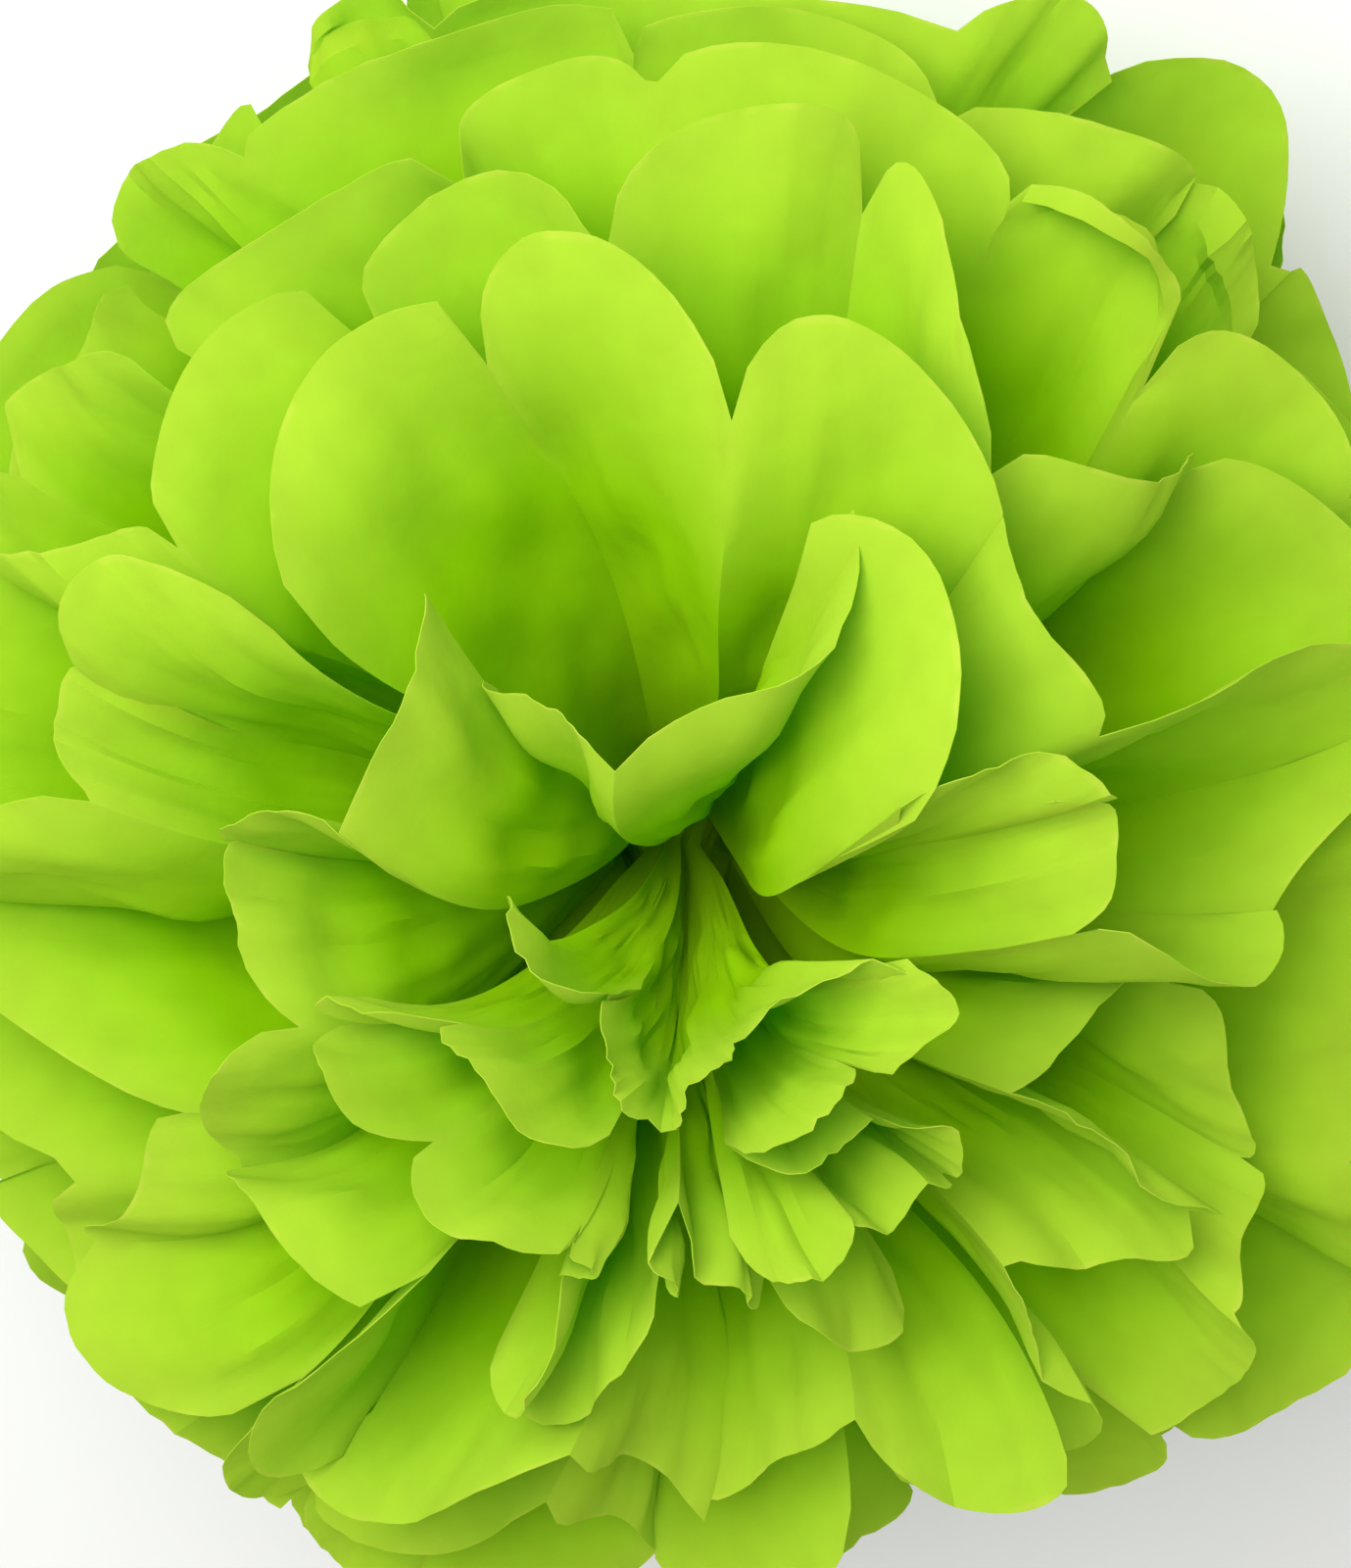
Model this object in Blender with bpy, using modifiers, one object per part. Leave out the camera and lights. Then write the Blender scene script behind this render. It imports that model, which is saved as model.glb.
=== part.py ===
"""Tissue paper pom pom: twelve pleated sheets tied at the middle and pulled open into a ball.

Each sheet is a rectangle of tissue folded into pleats, gathered by the tie and fanned out on
both sides of it. Six sheets are pulled up and six down. A sheet's two fans meet along a seam
and together make one ring of petals round the flower axis, which is +Z. The ball rests on its
lower petals, so the table is z = 0 and the box of the whole ball is centred over the origin.
"""

import math
import random

import bpy
import numpy as np

MM = 0.001

SHEETS = 12  # half pulled up, half pulled down
PANELS = 10  # pleats across one sheet
PLEAT = 40 * MM  # width of one pleat
BALL_RADIUS = 125 * MM
SCALLOP = 11 * MM  # how far a pleat's rounded end is cut back at its creases
TISSUE = 0.3 * MM  # stands in for tissue of 0.03 mm
GAP = 1.6 * MM  # between neighbouring sheets
LAYER = 0.8 * MM  # pitch of the sheets inside the tie
TIE_HALF = 6.0 * MM  # half width of the gathered bundle
TIE_HEIGHT = 5.6 * MM  # half height of the gathered bundle
WIRE = 0.7 * MM
GATHERED_TO = 3 * MM  # the sheets lie flat on each other this far from the tie
OPEN_FROM = 30 * MM  # and are fully fanned out from here on
WIRE_STEPS = 12

# Polar angle of the borders between the rings of petals, from the flower's eye to the waist.
BORDERS = (2.0, 28.0, 48.0, 69.0, 90.0)
BORDER_WAVE = (0.0, 5.0, 5.0, 5.0, 5.0)
SEAM = 1.2  # degrees that each fan stops short of the seam
SEAM_SHIFT = 14.0

FOLDS_FROM = 0.4  # share of the way out at which the pleats stand at their full depth
BLOOM = 13.0  # degrees by which a petal's foot stands steeper than its end
ROLL = 9.0  # degrees by which its end bends back
CURL = 5 * MM
BULGE = 0.2
LEAN = 8 * MM  # soft irregular push of the whole ball
LEAN_LENGTH = 90 * MM

TABLE = -98 * MM  # height of the table below the tie
TOUCH = 0.8 * MM  # edges this near the table lie on it

SEED = 39
CUTS = (0.0, 0.22, 0.78)  # columns of faces in one pleat
ROWS = (0.02, 0.14, 0.5, 1.0)  # rows of faces from tie to petal end


def unit(v):
    return v / np.linalg.norm(v, axis=-1, keepdims=True)


def aim(azimuth, polar):
    """Directions from the tie."""
    return np.stack(
        [
            np.sin(polar) * np.cos(azimuth),
            np.sin(polar) * np.sin(azimuth),
            np.cos(polar) + 0 * azimuth,
        ],
        -1,
    )


def ease(x, start, end):
    t = np.clip((x - start) / (end - start), 0, 1)
    return t * t * (3 - 2 * t)


def border(level, azimuth):
    """Polar angle of the wavy border above sheet number level."""
    half = SHEETS // 2
    near = min(level, SHEETS - level)
    place = near / half * (len(BORDERS) - 1)
    base = np.interp(place, range(len(BORDERS)), BORDERS)
    size = np.interp(place, range(len(BORDERS)), BORDER_WAVE)
    rng = random.Random(SEED * 100 + level)
    a = math.radians(azimuth)
    wave = sum(
        size * share * math.sin(n * a + rng.uniform(0, math.tau))
        for n, share in ((2, 0.35), (5, 0.55), (7, 0.5))
    )
    return (base if level <= half else 180 - base) + wave


def creases(sheet, side):
    """For each crease of one fan: azimuth, the two borders, its depth between them, and the step."""
    rng = random.Random(SEED * 1000 + sheet * 10 + (side > 0))
    first = random.Random(SEED * 7 + sheet).uniform(-SEAM_SHIFT, SEAM_SHIFT)
    last = random.Random(SEED * 9 + sheet).uniform(-SEAM_SHIFT, SEAM_SHIFT)
    lean = rng.uniform(-0.35, 0.35)
    start, end = -90 + side * first + SEAM, 90 + side * last - SEAM
    step = (end - start) / PANELS
    found = []
    for i in range(PANELS + 1):
        inner = 0 < i < PANELS
        shift = rng.uniform(-0.18, 0.18) if inner else 0
        if sheet in (0, SHEETS - 1):
            # the outermost sheets fold in and out between the eye and the next ring
            depth = (0.04, 0.5, 0.94, 0.5)[(i + 2 * (side < 0)) % 4]
            depth = min(0.95, max(0.1, depth + rng.uniform(-0.14, 0.14)))
            if sheet:
                depth = 1 - depth
        else:
            odd = (i + sheet) % 2
            if inner:
                shift += lean * (odd - 0.5)
            depth = abs(odd - rng.uniform(0, 0.18))
        azimuth = start + step * (i + shift)
        azimuth = azimuth if side > 0 else 180 - azimuth
        found.append((azimuth, border(sheet, azimuth), border(sheet + 1, azimuth), depth))
    return np.array(found), step


def leaning(points, seed):
    """A soft irregular push, the same for every sheet, so that none runs into another."""
    rng = random.Random(seed)
    waves = 10
    push = np.zeros_like(points)
    for _ in range(waves):
        k = np.array([rng.gauss(0, 1) for _ in range(3)])
        k *= math.tau / LEAN_LENGTH * rng.uniform(0.7, 1.2) / np.linalg.norm(k)
        a = np.array([rng.gauss(0, 1) for _ in range(3)])
        a *= LEAN * math.sqrt(2 / waves) / np.linalg.norm(a)
        push += np.sin(points @ k + rng.uniform(0, math.tau))[..., None] * a
    reach = np.linalg.norm(points, axis=-1, keepdims=True) / BALL_RADIUS
    return np.clip(reach, 0, 1.1) ** 1.5 * push


def fan(sheet, side):
    """One fan of a sheet as a grid of points, columns across the pleats, rows from the tie out."""
    columns = [(i, s) for i in range(PANELS) for s in CUTS] + [(PANELS - 1, 1.0)]
    panel = np.array([c[0] for c in columns])
    s = np.array([c[1] for c in columns])
    rows = np.array(ROWS)
    table, step = creases(sheet, side)
    rng = random.Random(SEED * 500 + sheet * 10 + side)
    end_shift = np.array([rng.uniform(-0.07, 0.02) for _ in range(PANELS + 1)])
    end_bow = np.array([rng.uniform(-0.05, 0.03) for _ in range(PANELS)])
    swirl = rng.choice((-1, 1))
    bulge = np.array([swirl * rng.uniform(-0.25, 1) * BULGE for _ in range(PANELS)])
    curl = np.array([rng.uniform(-1, 1) for _ in range(PANELS + 1)])
    cut_back = np.array([rng.uniform(0.3, 1.2) for _ in range(PANELS)])

    azimuth, above, below, depth = (table[:, j][:, None] for j in range(4))
    reach = np.maximum(rows, 0.05)[None, :]
    keep = np.degrees(GAP / (BALL_RADIUS * reach)) / 2
    middle = (above + below) / 2
    room = np.maximum((below - above) / 2 - keep, 0.15 * (below - above))
    if 0 < sheet < SHEETS - 1:
        # a pleat keeps its width, so it folds deeper where there is less room round the axis
        whole = np.degrees(PLEAT / (BALL_RADIUS * reach))
        round_axis = step * np.sin(np.radians(middle))
        room = np.minimum(room, np.sqrt(np.maximum(whole**2 - round_axis**2, 9)) / 2)
    polar = middle + room * (2 * depth - 1) * ease(rows, 0, FOLDS_FROM)[None, :]
    crease = aim(np.radians(azimuth) + 0 * polar, np.radians(polar))
    a, b = crease[panel], crease[panel + 1]
    ray = a * (1 - s)[:, None, None] + b * s[:, None, None]
    across = np.linalg.norm(b - a, axis=-1)
    bow = (bulge[panel] * np.sin(math.pi * s))[:, None] * across
    bow = bow * np.sign(polar[panel + 1] - polar[panel])
    ray = unit(ray + unit(np.cross(a, b)) * bow[..., None])

    rounding = 1 - np.sqrt(np.clip(1 - np.abs(2 * s - 1) ** 2.4, 0, 1))
    end = BALL_RADIUS * (
        1
        + end_shift[panel] * (1 - s)
        + end_shift[panel + 1] * s
        + end_bow[panel] * np.sin(math.pi * s)
    )
    end = end - SCALLOP * cut_back[panel] * rounding
    r = rows * (BALL_RADIUS + (end - BALL_RADIUS)[:, None] * rows**2)
    share = r / BALL_RADIUS
    polar = np.arccos(np.clip(ray[..., 2], -1, 1))
    azimuth = np.arctan2(ray[..., 1], ray[..., 0])
    bend = math.radians(BLOOM) * np.clip(1 - share, 0, 1) ** 1.5
    bend = bend - math.radians(ROLL) * np.clip(share - 0.72, 0, 1) ** 2 / 0.08
    open_fan = aim(azimuth, polar - bend * np.sin(2 * polar)) * r[..., None]

    across_tie = 2 * (panel + s) / PANELS - 1
    level = ((SHEETS - 1) / 2 - sheet) * LAYER
    half_width = TIE_HALF * math.sqrt(max(1 - (level / TIE_HEIGHT) ** 2, 0.1))
    gathered = np.stack(
        [
            side * r,
            np.broadcast_to((half_width * across_tie)[:, None], r.shape),
            np.full(r.shape, level),
        ],
        -1,
    )
    opened = ease(r, GATHERED_TO, OPEN_FROM)[..., None]
    points = gathered * (1 - opened) + open_fan * opened

    normal = unit(
        np.cross(np.gradient(points, axis=0), np.gradient(points, axis=1)) + 1e-12
    )
    rolled = curl[panel] * (1 - s) + curl[panel + 1] * s
    amount = rolled[:, None] * CURL * np.clip((share - 0.7) / 0.3, 0, 1.1) ** 2
    points = points + normal * amount[..., None]
    return points + leaning(points, SEED * 31)


def sheet_grid(sheet):
    grid = np.concatenate([fan(sheet, -1)[:, ::-1], fan(sheet, 1)], axis=1)
    # the table pushes up each petal that would reach below it
    share = np.abs(np.array([-r for r in ROWS[::-1]] + list(ROWS)))
    for ends in (0, -1):
        half = slice(None, len(ROWS)) if ends == 0 else slice(len(ROWS), None)
        depth = np.minimum(grid[:, ends, 2], TABLE)
        grid[:, half, 2] *= 1 - (1 - TABLE / depth)[:, None] * share[half] ** 2
    return grid


def only_active(ob):
    bpy.ops.object.select_all(action="DESELECT")
    ob.select_set(True)
    bpy.context.view_layer.objects.active = ob


def make_sheet(name, grid, collection):
    columns, rows, _ = grid.shape
    faces = []
    for i in range(columns - 1):
        for j in range(rows - 1):
            # cut into triangles here, so that both sides of the tissue have the same ones
            a, b = i * rows + j, (i + 1) * rows + j
            rising = np.linalg.norm(grid[i, j] - grid[i + 1, j + 1])
            falling = np.linalg.norm(grid[i + 1, j] - grid[i, j + 1])
            if rising < falling:
                faces += [(a, b, b + 1), (a, b + 1, a + 1)]
            else:
                faces += [(a, b, a + 1), (b, b + 1, a + 1)]
    mesh = bpy.data.meshes.new(name)
    mesh.from_pydata(grid.reshape(-1, 3).tolist(), [], faces)
    ob = bpy.data.objects.new(name, mesh)
    collection.objects.link(ob)
    only_active(ob)
    thick = ob.modifiers.new("tissue", "SOLIDIFY")
    thick.thickness = TISSUE
    thick.offset = 0
    bpy.ops.object.modifier_apply(modifier=thick.name)
    return ob


def make_tie(name, collection):
    """Thin wire drawn round the gathered sheets and closed."""
    wide, high = TIE_HALF + 0.5 * MM + WIRE / 2, TIE_HEIGHT + 0.4 * MM + WIRE / 2
    curve = bpy.data.curves.new(name, "CURVE")
    curve.dimensions = "3D"
    curve.bevel_depth = WIRE / 2
    curve.bevel_resolution = 1
    spline = curve.splines.new("POLY")
    spline.points.add(WIRE_STEPS - 1)
    spline.use_cyclic_u = True
    for n, point in enumerate(spline.points):
        turn = n / WIRE_STEPS * math.tau
        point.co = (0, wide * math.sin(turn), high * math.cos(turn), 1)
    ob = bpy.data.objects.new(name, curve)
    collection.objects.link(ob)
    only_active(ob)
    bpy.ops.object.convert(target="MESH")
    return bpy.context.view_layer.objects.active


def set_down(objects):
    """Stand the ball on the table over the origin, with the lowest petal edges flat on it."""
    corners = np.array([v.co for ob in objects for v in ob.data.vertices])
    low, high = corners.min(axis=0), corners.max(axis=0)
    shift = (-(low[0] + high[0]) / 2, -(low[1] + high[1]) / 2, -low[2])
    for ob in objects:
        for v in ob.data.vertices:
            v.co = [c + d for c, d in zip(v.co, shift)]
            if v.co.z < TOUCH:
                v.co.z = 0


def main():
    for ob in list(bpy.data.objects):
        bpy.data.objects.remove(ob, do_unlink=True)
    collection = bpy.data.collections.new("tissue paper pom pom")
    bpy.context.scene.collection.children.link(collection)
    objects = [
        make_sheet(f"tissue_sheet_{n + 1}", sheet_grid(n), collection)
        for n in range(SHEETS)
    ]
    objects.append(make_tie("tie_wire", collection))
    set_down(objects)


main()
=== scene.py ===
"""Looks of the tissue paper pom pom: twelve pleated sheets fanned out from a wire tie.

Every sheet starts as a flat grid of the tissue's own size. The folds then carry each of its points
to its place in the ball, with the same sums as the part's source, only finer. What is added here is
what a hand does to tissue while it pulls the sheets apart: soft dents, pulls towards the tie and
ends that flare and roll.
"""

import math
import random

import bpy
import numpy as np
from mathutils import Matrix, Vector


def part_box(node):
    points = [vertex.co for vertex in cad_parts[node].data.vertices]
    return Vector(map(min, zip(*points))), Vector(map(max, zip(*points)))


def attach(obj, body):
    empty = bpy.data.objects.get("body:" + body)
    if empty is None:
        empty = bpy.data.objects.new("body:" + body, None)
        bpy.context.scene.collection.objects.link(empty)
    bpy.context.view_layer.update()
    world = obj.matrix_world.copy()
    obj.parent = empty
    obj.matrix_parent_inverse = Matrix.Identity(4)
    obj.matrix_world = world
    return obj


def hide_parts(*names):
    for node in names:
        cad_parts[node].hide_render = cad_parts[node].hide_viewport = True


bl_info = {
    "name": "Tissue paper pom pom",
    "version": (1, 0, 0),
    "blender": (4, 5, 0),
    "location": "View3D > Sidebar > Pom Pom",
    "description": "Builds the looks of a tissue paper pom pom round its packed part",
    "category": "Object",
}

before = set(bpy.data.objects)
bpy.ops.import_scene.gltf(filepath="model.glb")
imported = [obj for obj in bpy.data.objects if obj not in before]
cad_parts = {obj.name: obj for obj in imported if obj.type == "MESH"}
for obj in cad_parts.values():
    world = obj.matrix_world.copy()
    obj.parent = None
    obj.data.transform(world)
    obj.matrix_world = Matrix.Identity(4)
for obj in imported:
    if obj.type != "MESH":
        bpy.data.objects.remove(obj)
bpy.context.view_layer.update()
TIE = (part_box("tie_wire")[0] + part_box("tie_wire")[1]) / 2

MM = 0.001

SHEETS = 12  # half pulled up, half pulled down
PANELS = 10  # pleats across one sheet
PLEAT = 40 * MM  # width of one pleat
BALL_RADIUS = 125 * MM
SCALLOP = 11 * MM  # how far a pleat's rounded end is cut back at its creases
ROUNDNESS = 2.4  # power of the oval that the end is cut to, 2 for an ellipse
GAP = 1.6 * MM  # between neighbouring sheets
LAYER = 0.8 * MM  # pitch of the sheets inside the tie
TIE_HALF = 6.0 * MM  # half width of the gathered bundle
TIE_HEIGHT = 5.6 * MM  # half height of the gathered bundle
GATHERED_TO = 3 * MM  # the sheets lie flat on each other this far from the tie
OPEN_FROM = 30 * MM  # and are fully fanned out from here on

# Polar angle of the borders between the rings of petals, from the flower's eye to the waist,
# and how far each border waves up and down, all in degrees.
BORDERS = (2.0, 28.0, 48.0, 69.0, 90.0)
BORDER_WAVE = (0.0, 5.0, 5.0, 5.0, 5.0)
WAVES_ROUND = ((2, 0.35), (5, 0.55), (7, 0.5))  # how many go round, and each one's share
SEAM = 1.2  # degrees that each fan stops short of the seam
SEAM_SHIFT = 14.0  # degrees by which a seam may stray

ASTRAY = 0.18  # share of a pleat, or of its depth, by which a crease may stray
EYE_DEPTHS = (0.04, 0.5, 0.94, 0.5)  # depths of the creases round the eye, in turn
FOLDS_FROM = 0.4  # share of the way out at which the pleats stand at their full depth
BLOOM = 13.0  # degrees by which a petal's foot stands steeper than its end
ROLL = 9.0  # degrees by which its end bends back
ROLL_FROM = 0.72  # share of the way out at which it starts to
CURL = 5 * MM  # how far a crease's end may curl to one side
CURL_FROM, CURL_OVER = 0.7, 0.3  # where on the way out, and over what share of it
BULGE = 0.2  # how round a petal is across, as a share of its width
LEAN = 8 * MM  # soft irregular push of the whole ball
LEAN_LENGTH = 90 * MM
TABLE = -98 * MM  # height of the table below the tie
SEED = 39

PLEAT_STEPS = 18  # columns of faces in one pleat
LENGTH_STEPS = 81  # rows of faces from end to end, odd so that one row lies in the tie

# Lengths of the waves that hands leave in the tissue.
DENT_LENGTH = 24 * MM
PULL_LENGTH = 6 * MM
PULL_STRETCH = 0.18  # a pull is long from the tie outwards and narrow across
LIP_LENGTH = 34 * MM
LIP_STRETCH = 0.3

CLOUD_SIZE = 6 * MM
CRINKLE_SIZE = 3 * MM
CRINKLE_DEPTH = 0.3 * MM
END_HIGHLIGHT_FROM = 0.78  # share of the way out at which the painted highlight on the ends starts
EDGE_HIGHLIGHT_FROM, EDGE_HIGHLIGHT_TO = 1.75 * MM, 0.375 * MM  # from the cut, where the painted highlight along its edge starts and is full

TABLE_SIZE = 6.0
KEY_TO_SIDE, KEY_TO_LEFT, KEY_UP = 0.38, 0.17, 0.55  # from the tie to the light, in metres
KEY_SIZE = 0.38
LENS = 85


class TissueSettings(bpy.types.PropertyGroup):
    thickness: bpy.props.FloatProperty(
        name="Thickness",
        description="Thickness of the tissue, a few times the real one so that its edge shows",
        default=0.12 * MM,
        unit="LENGTH",
    )
    dent: bpy.props.FloatProperty(
        name="Dents",
        description="Height of the soft dents that fingers leave in the tissue",
        default=1.2 * MM,
        unit="LENGTH",
    )
    flutter: bpy.props.FloatProperty(
        name="Flutter",
        description="How far the ends of the petals wave to and fro",
        default=2.4 * MM,
        unit="LENGTH",
    )
    crinkle: bpy.props.FloatProperty(
        name="Pulls",
        description="Height of the pulls that run from the tie out along a pleat",
        default=0.42 * MM,
        unit="LENGTH",
    )
    dyed: bpy.props.StringProperty(
        name="Dyed paper",
        description="Colour of light that the tissue sends back, as an sRGB hex value",
        default="a8d60e",
    )
    shone_through: bpy.props.StringProperty(
        name="Shone through",
        description="Colour of light that passes the tissue, as an sRGB hex value",
        default="48ec06",
    )
    see_through: bpy.props.FloatProperty(
        name="See-through",
        description="Share of the light on the tissue that goes through it",
        default=0.38,
        min=0.0,
        max=1.0,
    )
    # colour of the painted highlights that brighten the petal ends and the cut edge
    pale: bpy.props.StringProperty(
        name="Pale ends",
        description="Colour that the faded ends and the cut edge tend to, as an sRGB hex value",
        default="e4de66",
    )
    # how strong the painted highlight on the petal ends is
    painted_end_highlight: bpy.props.FloatProperty(
        name="Painted end highlight",
        description="How much of the pale colour the ends have",
        default=0.34,
        min=0.0,
        max=1.0,
    )
    # how strong the painted highlight along the cut edge is
    painted_edge_highlight: bpy.props.FloatProperty(
        name="Painted edge highlight",
        description="How much of the pale colour the cut edge has",
        default=0.48,
        min=0.0,
        max=1.0,
    )


class TieSettings(bpy.types.PropertyGroup):
    zinc: bpy.props.StringProperty(
        name="Zinc",
        description="Colour of the plated wire, as an sRGB hex value",
        default="b4b6b4",
    )
    marks: bpy.props.FloatProperty(
        name="Drawing marks",
        description="Distance between the fine marks that drawing leaves on the wire",
        default=0.2 * MM,
        unit="LENGTH",
    )


class StageSettings(bpy.types.PropertyGroup):
    distance: bpy.props.FloatProperty(
        name="Camera distance",
        description="From the tie to the camera",
        default=0.56,
        unit="LENGTH",
    )
    bearing: bpy.props.FloatProperty(
        name="Camera bearing",
        description="On which side of the ball the camera stands, counted from +X",
        default=math.radians(242),
        subtype="ANGLE",
    )
    elevation: bpy.props.FloatProperty(
        name="Camera height",
        description="How far the camera stands above the tie",
        default=math.radians(66),
        subtype="ANGLE",
    )
    key: bpy.props.FloatProperty(
        name="Key light",
        description="Power of the soft light above the ball",
        default=4.6,
        unit="POWER",
    )
    sky: bpy.props.FloatProperty(
        name="Room light",
        description="Strength of the even light from all round",
        default=0.68,
        min=0.0,
    )


def linear(code):
    """Linear colour of an sRGB hex value."""
    channels = [int(code[n : n + 2], 16) / 255 for n in (0, 2, 4)]
    return (
        *[c / 12.92 if c <= 0.04045 else ((c + 0.055) / 1.055) ** 2.4 for c in channels],
        1.0,
    )


def add_node(tree, kind, settings=(), links=()):
    """A new node with its settings and with the sockets that feed it."""
    node = tree.nodes.new(kind)
    for name, value in dict(settings).items():
        if hasattr(node, str(name)):
            setattr(node, name, value)
        else:
            node.inputs[name].default_value = value
    for name, socket in dict(links).items():
        tree.links.new(socket, node.inputs[name])
    return node


def new_material(name):
    material = bpy.data.materials.new(name)
    material.use_nodes = True
    material.node_tree.nodes.clear()
    return material, material.node_tree


def dyed_tissue_paper(settings):
    """Thin dyed tissue, calendered and matt: it sends part of the light back and lets part of it
    through, so a petal with light behind it glows paler and a deep fold turns dark green."""
    material, tree = new_material("dyed_tissue_paper")
    place = add_node(tree, "ShaderNodeTexCoord")
    # fibres clot into clouds about 6 mm wide, where the paper is a little denser
    clouds = add_node(
        tree,
        "ShaderNodeTexNoise",
        {"Scale": 1 / CLOUD_SIZE, "Detail": 1.0},
        {"Vector": place.outputs["Object"]},
    )
    # crinkles of the pressed paper, about half their size apart
    crinkles = add_node(
        tree,
        "ShaderNodeTexNoise",
        {"Scale": 1 / CRINKLE_SIZE, "Detail": 2.0, "Roughness": 0.55},
        {"Vector": place.outputs["Object"]},
    )
    bump = add_node(
        tree,
        "ShaderNodeBump",
        {"Strength": 0.25, "Distance": CRINKLE_DEPTH},
        {"Height": crinkles.outputs["Fac"]},
    )
    dense = add_node(
        tree,
        "ShaderNodeMapRange",
        {"From Min": 0.3, "From Max": 0.7, "To Min": 0.975, "To Max": 1.025},
        {"Value": clouds.outputs["Fac"]},
    )
    # along the sheet, 0 at the tie and 1 at a cut end
    lengthways = add_node(
        tree, "ShaderNodeSeparateXYZ", links={"Vector": place.outputs["UV"]}
    ).outputs["Y"]
    both_ways = add_node(
        tree, "ShaderNodeMath", {"operation": "MULTIPLY_ADD", 1: 2.0, 2: -1.0}, {0: lengthways}
    ).outputs["Value"]
    outward = add_node(
        tree, "ShaderNodeMath", {"operation": "ABSOLUTE"}, {0: both_ways}
    ).outputs["Value"]
    # painted highlights: the colour turns a little paler towards the ends, and the cut edge is
    # painted pale in places, where the tips and rims catch the light
    painted_end_highlight = add_node(
        tree,
        "ShaderNodeMapRange",
        {"From Min": END_HIGHLIGHT_FROM, "From Max": 1.0, "To Max": settings.painted_end_highlight},
        {"Value": outward},
    ).outputs["Result"]
    # painted highlight along the cut edge, stronger in some patches than in others
    patchy_edge_highlight = add_node(
        tree,
        "ShaderNodeMapRange",
        {"From Min": 0.35, "From Max": 0.6, "To Min": 0.1, "To Max": settings.painted_edge_highlight},
        {"Value": clouds.outputs["Fac"]},
    ).outputs["Result"]
    painted_edge_highlight = add_node(
        tree,
        "ShaderNodeMapRange",
        {"From Min": 1 - EDGE_HIGHLIGHT_FROM / BALL_RADIUS, "From Max": 1 - EDGE_HIGHLIGHT_TO / BALL_RADIUS},
        {"Value": outward, "To Max": patchy_edge_highlight},
    ).outputs["Result"]
    # the stronger of the two painted highlights, mixed into both colours of the tissue
    paler = add_node(tree, "ShaderNodeMath", {"operation": "MAXIMUM"}, {0: painted_end_highlight, 1: painted_edge_highlight})
    shades = []
    for code in (settings.dyed, settings.shone_through):
        dye_and_highlight = add_node(
            tree,
            "ShaderNodeMixRGB",
            {"Color1": linear(code), "Color2": linear(settings.pale)},
            {"Fac": paler.outputs["Value"]},
        )
        shades.append(
            add_node(
                tree,
                "ShaderNodeHueSaturation",
                {},
                {"Color": dye_and_highlight.outputs["Color"], "Value": dense.outputs["Result"]},
            )
        )
    back = add_node(
        tree,
        "ShaderNodeBsdfDiffuse",
        {"Roughness": 0.3},
        {"Color": shades[0].outputs["Color"], "Normal": bump.outputs["Normal"]},
    )
    through = add_node(
        tree,
        "ShaderNodeBsdfTranslucent",
        {},
        {"Color": shades[1].outputs["Color"], "Normal": bump.outputs["Normal"]},
    )
    tissue = add_node(
        tree,
        "ShaderNodeMixShader",
        {0: settings.see_through},
        {1: back.outputs["BSDF"], 2: through.outputs["BSDF"]},
    )
    add_node(tree, "ShaderNodeOutputMaterial", {}, {"Surface": tissue.outputs["Shader"]})
    return material


def zinc_plated_wire(settings):
    """Soft zinc-plated florist's wire, drawn and a little dull: fine scratches along it."""
    material, tree = new_material("zinc_plated_wire")
    place = add_node(tree, "ShaderNodeTexCoord")
    marks = add_node(
        tree,
        "ShaderNodeTexNoise",
        {"Scale": 0.5 / settings.marks, "Detail": 2.0},
        {"Vector": place.outputs["Object"]},
    )
    rough = add_node(
        tree,
        "ShaderNodeMapRange",
        {"To Min": 0.28, "To Max": 0.5},
        {"Value": marks.outputs["Fac"]},
    )
    metal = add_node(
        tree,
        "ShaderNodeBsdfPrincipled",
        {"Base Color": linear(settings.zinc), "Metallic": 1.0},
        {"Roughness": rough.outputs["Result"]},
    )
    add_node(tree, "ShaderNodeOutputMaterial", {}, {"Surface": metal.outputs["BSDF"]})
    return material


def unit(v):
    return v / np.linalg.norm(v, axis=-1, keepdims=True)


def aim(azimuth, polar):
    """Directions from the tie."""
    return np.stack(
        [
            np.sin(polar) * np.cos(azimuth),
            np.sin(polar) * np.sin(azimuth),
            np.cos(polar) + 0 * azimuth,
        ],
        -1,
    )


def ease(x, start, end):
    t = np.clip((x - start) / (end - start), 0, 1)
    return t * t * (3 - 2 * t)


def border(level, azimuth):
    """Polar angle of the wavy border above sheet number level."""
    half = SHEETS // 2
    near = min(level, SHEETS - level)
    place = near / half * (len(BORDERS) - 1)
    base = np.interp(place, range(len(BORDERS)), BORDERS)
    size = np.interp(place, range(len(BORDERS)), BORDER_WAVE)
    rng = random.Random(SEED * 100 + level)
    a = math.radians(azimuth)
    wave = sum(
        size * share * math.sin(n * a + rng.uniform(0, math.tau))
        for n, share in WAVES_ROUND
    )
    return (base if level <= half else 180 - base) + wave


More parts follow.
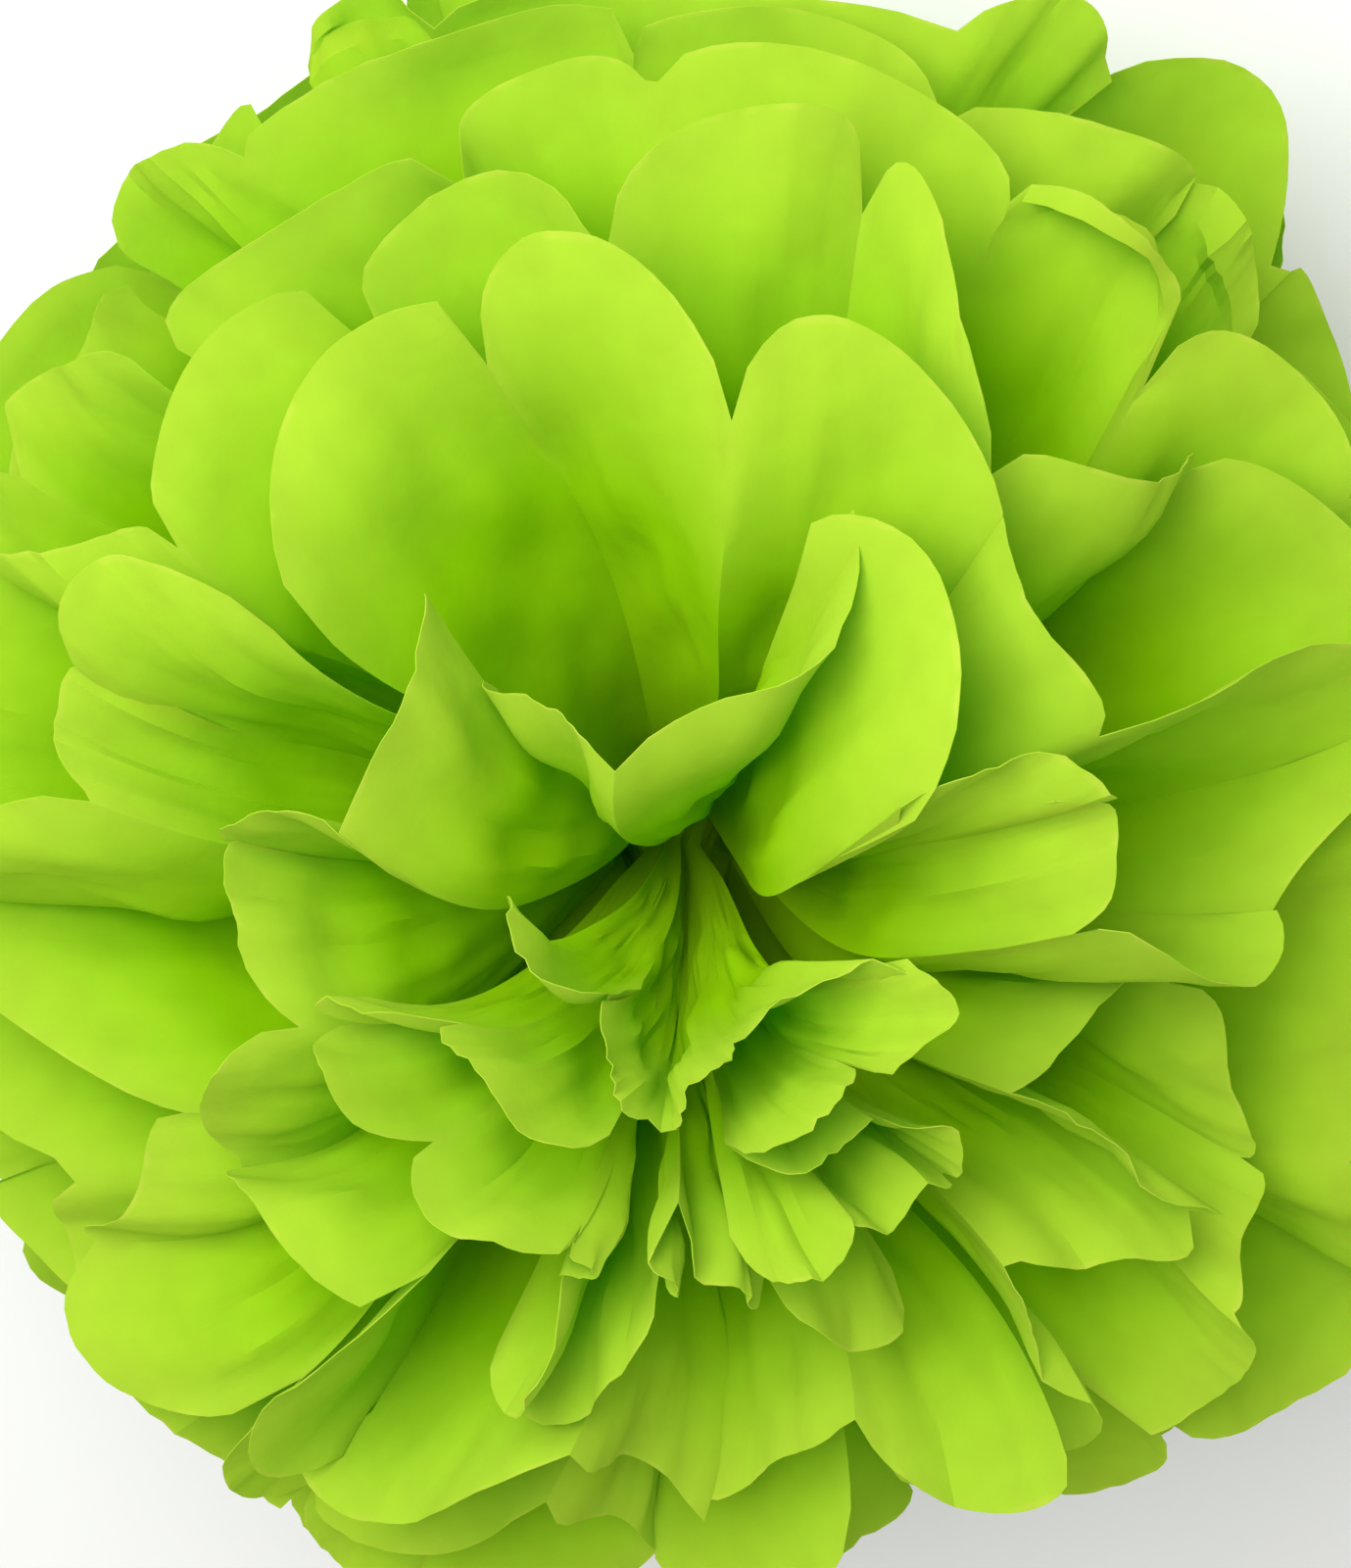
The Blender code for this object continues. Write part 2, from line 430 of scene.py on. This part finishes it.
def creases(sheet, side):
    """Azimuth, both borders and depth between them of each crease of one fan, and the step."""
    rng = random.Random(SEED * 1000 + sheet * 10 + (side > 0))
    first = random.Random(SEED * 7 + sheet).uniform(-SEAM_SHIFT, SEAM_SHIFT)
    last = random.Random(SEED * 9 + sheet).uniform(-SEAM_SHIFT, SEAM_SHIFT)
    lean = rng.uniform(-0.35, 0.35)
    start, end = -90 + side * first + SEAM, 90 + side * last - SEAM
    step = (end - start) / PANELS
    found = []
    for i in range(PANELS + 1):
        inner = 0 < i < PANELS
        shift = rng.uniform(-ASTRAY, ASTRAY) if inner else 0
        if sheet in (0, SHEETS - 1):
            # the outermost sheets fold in and out between the eye and the next ring
            depth = EYE_DEPTHS[(i + 2 * (side < 0)) % len(EYE_DEPTHS)]
            depth = min(0.95, max(0.1, depth + rng.uniform(-0.14, 0.14)))
            if sheet:
                depth = 1 - depth
        else:
            odd = (i + sheet) % 2
            if inner:
                shift += lean * (odd - 0.5)
            depth = abs(odd - rng.uniform(0, ASTRAY))
        azimuth = start + step * (i + shift)
        azimuth = azimuth if side > 0 else 180 - azimuth
        found.append((azimuth, border(sheet, azimuth), border(sheet + 1, azimuth), depth))
    return np.array(found), step


def leaning(points, seed):
    """A soft irregular push, the same for every sheet, so that none runs into another."""
    rng = random.Random(seed)
    waves = 10
    push = np.zeros_like(points)
    for _ in range(waves):
        k = np.array([rng.gauss(0, 1) for _ in range(3)])
        k *= math.tau / LEAN_LENGTH * rng.uniform(0.7, 1.2) / np.linalg.norm(k)
        a = np.array([rng.gauss(0, 1) for _ in range(3)])
        a *= LEAN * math.sqrt(2 / waves) / np.linalg.norm(a)
        push += np.sin(points @ k + rng.uniform(0, math.tau))[..., None] * a
    reach = np.linalg.norm(points, axis=-1, keepdims=True) / BALL_RADIUS
    return np.clip(reach, 0, 1.1) ** 1.5 * push


def fan(sheet, side, panel, s, rows):
    """Where the points of one fan lie, by their pleat, their share s across it and their row."""
    table, step = creases(sheet, side)
    rng = random.Random(SEED * 500 + sheet * 10 + side)
    # uneven ends, as shares of the ball's radius, and how each petal bulges, curls and is cut
    end_shift = np.array([rng.uniform(-0.07, 0.02) for _ in range(PANELS + 1)])
    end_bow = np.array([rng.uniform(-0.05, 0.03) for _ in range(PANELS)])
    swirl = rng.choice((-1, 1))
    bulge = np.array([swirl * rng.uniform(-0.25, 1) * BULGE for _ in range(PANELS)])
    curl = np.array([rng.uniform(-1, 1) for _ in range(PANELS + 1)])
    cut_back = np.array([rng.uniform(0.3, 1.2) for _ in range(PANELS)])

    # the creases swing between the two borders of their ring, and each pleat joins two of them
    azimuth, above, below, depth = (table[:, j][:, None] for j in range(4))
    reach = np.maximum(rows, 0.05)[None, :]
    keep = np.degrees(GAP / (BALL_RADIUS * reach)) / 2
    middle = (above + below) / 2
    room = np.maximum((below - above) / 2 - keep, 0.15 * (below - above))
    if 0 < sheet < SHEETS - 1:
        # a pleat keeps its width, so it folds deeper where there is less room round the axis
        whole = np.degrees(PLEAT / (BALL_RADIUS * reach))
        round_axis = step * np.sin(np.radians(middle))
        room = np.minimum(room, np.sqrt(np.maximum(whole**2 - round_axis**2, 9)) / 2)
    polar = middle + room * (2 * depth - 1) * ease(rows, 0, FOLDS_FROM)[None, :]
    crease = aim(np.radians(azimuth) + 0 * polar, np.radians(polar))
    a, b = crease[panel], crease[panel + 1]
    ray = a * (1 - s)[:, None, None] + b * s[:, None, None]
    across = np.linalg.norm(b - a, axis=-1)
    bow = (bulge[panel] * np.sin(math.pi * s))[:, None] * across
    bow = bow * np.sign(polar[panel + 1] - polar[panel])
    ray = unit(ray + unit(np.cross(a, b)) * bow[..., None])

    # how far out each point lies, with the rounded ends
    rounding = 1 - np.sqrt(np.clip(1 - np.abs(2 * s - 1) ** ROUNDNESS, 0, 1))
    end = BALL_RADIUS * (
        1
        + end_shift[panel] * (1 - s)
        + end_shift[panel + 1] * s
        + end_bow[panel] * np.sin(math.pi * s)
    )
    end = end - SCALLOP * cut_back[panel] * rounding
    r = rows * (BALL_RADIUS + (end - BALL_RADIUS)[:, None] * rows**2)
    share = r / BALL_RADIUS
    # the foot of a petal stands steeper, and its end bends back by about ROLL
    polar = np.arccos(np.clip(ray[..., 2], -1, 1))
    azimuth = np.arctan2(ray[..., 1], ray[..., 0])
    bend = math.radians(BLOOM) * np.clip(1 - share, 0, 1) ** 1.5
    bend = bend - math.radians(ROLL) * np.clip(share - ROLL_FROM, 0, 1) ** 2 / 0.08
    open_fan = aim(azimuth, polar - bend * np.sin(2 * polar)) * r[..., None]

    # inside the tie the sheet is gathered and lies flat in its layer
    across_tie = 2 * (panel + s) / PANELS - 1
    level = ((SHEETS - 1) / 2 - sheet) * LAYER
    half_width = TIE_HALF * math.sqrt(max(1 - (level / TIE_HEIGHT) ** 2, 0.1))
    gathered = np.stack(
        [
            side * r,
            np.broadcast_to((half_width * across_tie)[:, None], r.shape),
            np.full(r.shape, level),
        ],
        -1,
    )
    opened = ease(r, GATHERED_TO, OPEN_FROM)[..., None]
    points = gathered * (1 - opened) + open_fan * opened

    rolled = curl[panel] * (1 - s) + curl[panel + 1] * s
    amount = rolled[:, None] * CURL * np.clip((share - CURL_FROM) / CURL_OVER, 0, 1.1) ** 2
    points = points + face_normals(points) * amount[..., None]
    return points + leaning(points, SEED * 31)


def face_normals(points):
    return unit(np.cross(np.gradient(points, axis=0), np.gradient(points, axis=1)) + 1e-12)


def waves_over(flat, seed, length, count=14):
    """Soft dents over the flat sheet: a sum of waves of about one length, from -1 to 1."""
    rng = random.Random(seed)
    total = np.zeros(flat.shape[:-1])
    for _ in range(count):
        angle, size = rng.uniform(0, math.tau), rng.uniform(0.7, 1.6) / length
        k = math.tau * size * np.array([math.cos(angle), math.sin(angle)])
        total += np.sin(flat @ k + rng.uniform(0, math.tau))
    return total * math.sqrt(2 / count) / 2


def folded_sheet(sheet, settings):
    """Every point of a sheet in its place in the ball, columns across the pleats."""
    columns = np.arange(PANELS * PLEAT_STEPS + 1)
    panel = np.minimum(columns // PLEAT_STEPS, PANELS - 1)
    s = columns / PLEAT_STEPS - panel
    rows = np.arange(1, LENGTH_STEPS + 1, 2) / LENGTH_STEPS
    half = len(rows)
    grid = np.concatenate(
        [
            fan(sheet, -1, panel, s, rows)[:, ::-1],
            fan(sheet, 1, panel, s, rows),
        ],
        axis=1,
    )
    share = np.concatenate([-rows[::-1], rows])
    # the table pushes up each petal that would reach below it
    for ends in (0, -1):
        part = slice(None, half) if ends == 0 else slice(half, None)
        depth = np.minimum(grid[:, ends, 2], TABLE)
        grid[:, part, 2] *= 1 - (1 - TABLE / depth)[:, None] * share[part] ** 2

    flat = np.stack(
        np.broadcast_arrays(((panel + s) * PLEAT)[:, None], (share * BALL_RADIUS)[None, :]), -1
    )
    inside = np.sin(math.pi * s)[:, None] ** 0.7  # a crease stays straight
    dents = waves_over(flat, SEED + sheet, DENT_LENGTH) * inside
    pulls = waves_over(flat * (1, PULL_STRETCH), SEED * 3 + sheet, PULL_LENGTH)
    pulls *= 0.3 + 0.7 * inside
    far = ease(np.abs(share), 0.25, 0.8)[None, :]
    amount = (settings.dent * dents + settings.crinkle * pulls) * far
    lips = waves_over(flat * (1, LIP_STRETCH), SEED * 6 + sheet, LIP_LENGTH)
    amount = amount + settings.flutter * lips * ease(np.abs(share), 0.6, 1.0)[None, :]
    grid = grid + face_normals(grid) * amount[..., None]
    grid[..., 2] = np.maximum(grid[..., 2], TABLE + settings.thickness)
    return grid


def deselect_all():
    if bpy.context.object and bpy.context.object.mode != "OBJECT":
        bpy.ops.object.mode_set(mode="OBJECT")
    bpy.ops.object.select_all(action="DESELECT")


class POMPOM_OT_tissue_sheets(bpy.types.Operator):
    """Fold the twelve sheets of tissue and fan them out from the tie"""

    bl_idname = "pompom.tissue_sheets"
    bl_label = "Tissue sheets"

    def execute(self, context):
        settings = context.scene.pompom_tissue
        tissue = dyed_tissue_paper(settings)
        width, length = PANELS * PLEAT, 2 * BALL_RADIUS
        for n in range(SHEETS):
            deselect_all()
            bpy.ops.mesh.primitive_grid_add(
                x_subdivisions=PANELS * PLEAT_STEPS,
                y_subdivisions=LENGTH_STEPS,
                size=1,
                calc_uvs=True,
            )
            sheet = context.object
            sheet.name = sheet.data.name = f"folded_tissue_{n + 1}"
            flat = np.zeros(len(sheet.data.vertices) * 3)
            sheet.data.vertices.foreach_get("co", flat)
            flat = flat.reshape(-1, 3)
            column = np.rint((flat[:, 0] + 0.5) * PANELS * PLEAT_STEPS).astype(int)
            row = np.rint((flat[:, 1] + 0.5) * LENGTH_STEPS).astype(int)
            folded = folded_sheet(n, settings)[column, row] + np.array(TIE)
            sheet.data.vertices.foreach_set("co", folded.ravel())
            sheet.data.update()
            thick = sheet.modifiers.new("tissue", "SOLIDIFY")
            thick.thickness = settings.thickness
            thick.offset = 0
            bpy.ops.object.modifier_apply(modifier=thick.name)
            bpy.ops.object.shade_smooth_by_angle(angle=math.radians(45))
            sheet.data.materials.append(tissue)
            node = f"tissue_sheet_{n + 1}"
            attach(sheet, "root")
            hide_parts(node)
        return {"FINISHED"}


class POMPOM_OT_tie_wire(bpy.types.Operator):
    """Give the wire tie round the gathered middle its metal"""

    bl_idname = "pompom.tie_wire"
    bl_label = "Tie wire"

    def execute(self, context):
        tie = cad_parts["tie_wire"]
        tie.data.materials.clear()
        tie.data.materials.append(zinc_plated_wire(context.scene.pompom_tie))
        return {"FINISHED"}


class POMPOM_OT_stage(bpy.types.Operator):
    """Set the pale table, the soft light and the camera of the photograph"""

    bl_idname = "pompom.stage"
    bl_label = "Stage"

    def execute(self, context):
        settings = context.scene.pompom_stage
        deselect_all()
        bpy.ops.mesh.primitive_plane_add(size=TABLE_SIZE)
        table = context.object
        table.name = "pale_table"
        material, tree = new_material("white_painted_table")
        paint = add_node(
            tree,
            "ShaderNodeBsdfDiffuse",
            {"Color": linear("f6f6f4")},
        )
        add_node(tree, "ShaderNodeOutputMaterial", {}, {"Surface": paint.outputs["BSDF"]})
        table.data.materials.append(material)

        world = bpy.data.worlds.new("white_room")
        world.use_nodes = True
        sky = world.node_tree.nodes["Background"]
        sky.inputs["Color"].default_value = (1, 1, 1, 1)
        sky.inputs["Strength"].default_value = settings.sky
        context.scene.world = world

        side = Vector((math.cos(settings.bearing), math.sin(settings.bearing), 0))
        left = Vector((0, 0, 1)).cross(side)
        # the light falls from the top left of the picture
        place = TIE + side * KEY_TO_SIDE + left * KEY_TO_LEFT + Vector((0, 0, KEY_UP))
        bpy.ops.object.light_add(type="AREA", location=place)
        key = context.object
        key.name = "soft_key"
        key.data.energy = settings.key
        key.data.size = KEY_SIZE
        key.rotation_euler = (TIE - key.location).to_track_quat("-Z", "Y").to_euler()

        bpy.ops.object.camera_add()
        camera = context.object
        camera.name = "photo_camera"
        camera.data.lens = LENS
        camera.data.sensor_width = 36
        up = settings.elevation
        back = side * math.cos(up) + Vector((0, 0, math.sin(up)))
        above = side * math.sin(up) - Vector((0, 0, math.cos(up)))
        right = above.cross(back)
        camera.matrix_world = Matrix.Translation(TIE + back * settings.distance) @ Matrix(
            (right, above, back)
        ).transposed().to_4x4()
        context.scene.camera = camera
        context.scene.view_settings.view_transform = "Standard"
        return {"FINISHED"}


class POMPOM_PT_sidebar(bpy.types.Panel):
    """Lists the settings and the steps of the pom pom"""

    bl_idname = "POMPOM_PT_sidebar"
    bl_label = "Tissue paper pom pom"
    bl_space_type = "VIEW_3D"
    bl_region_type = "UI"
    bl_category = "Pom Pom"

    def draw(self, context):
        for group, step in (
            ("pompom_tissue", "pompom.tissue_sheets"),
            ("pompom_tie", "pompom.tie_wire"),
            ("pompom_stage", "pompom.stage"),
        ):
            settings = getattr(context.scene, group)
            box = self.layout.box()
            for name in settings.__annotations__:
                box.prop(settings, name)
            box.operator(step)


GROUPS = {
    "pompom_tissue": TissueSettings,
    "pompom_tie": TieSettings,
    "pompom_stage": StageSettings,
}
CLASSES = (
    *GROUPS.values(),
    POMPOM_OT_tissue_sheets,
    POMPOM_OT_tie_wire,
    POMPOM_OT_stage,
    POMPOM_PT_sidebar,
)


def register():
    for cls in CLASSES:
        bpy.utils.register_class(cls)
    for name, group in GROUPS.items():
        setattr(bpy.types.Scene, name, bpy.props.PointerProperty(type=group))


def unregister():
    for name in GROUPS:
        delattr(bpy.types.Scene, name)
    for cls in reversed(CLASSES):
        bpy.utils.unregister_class(cls)


def main():
    register()
    bpy.ops.pompom.tissue_sheets()
    bpy.ops.pompom.tie_wire()
    bpy.ops.pompom.stage()


if __name__ == "__main__":
    main()
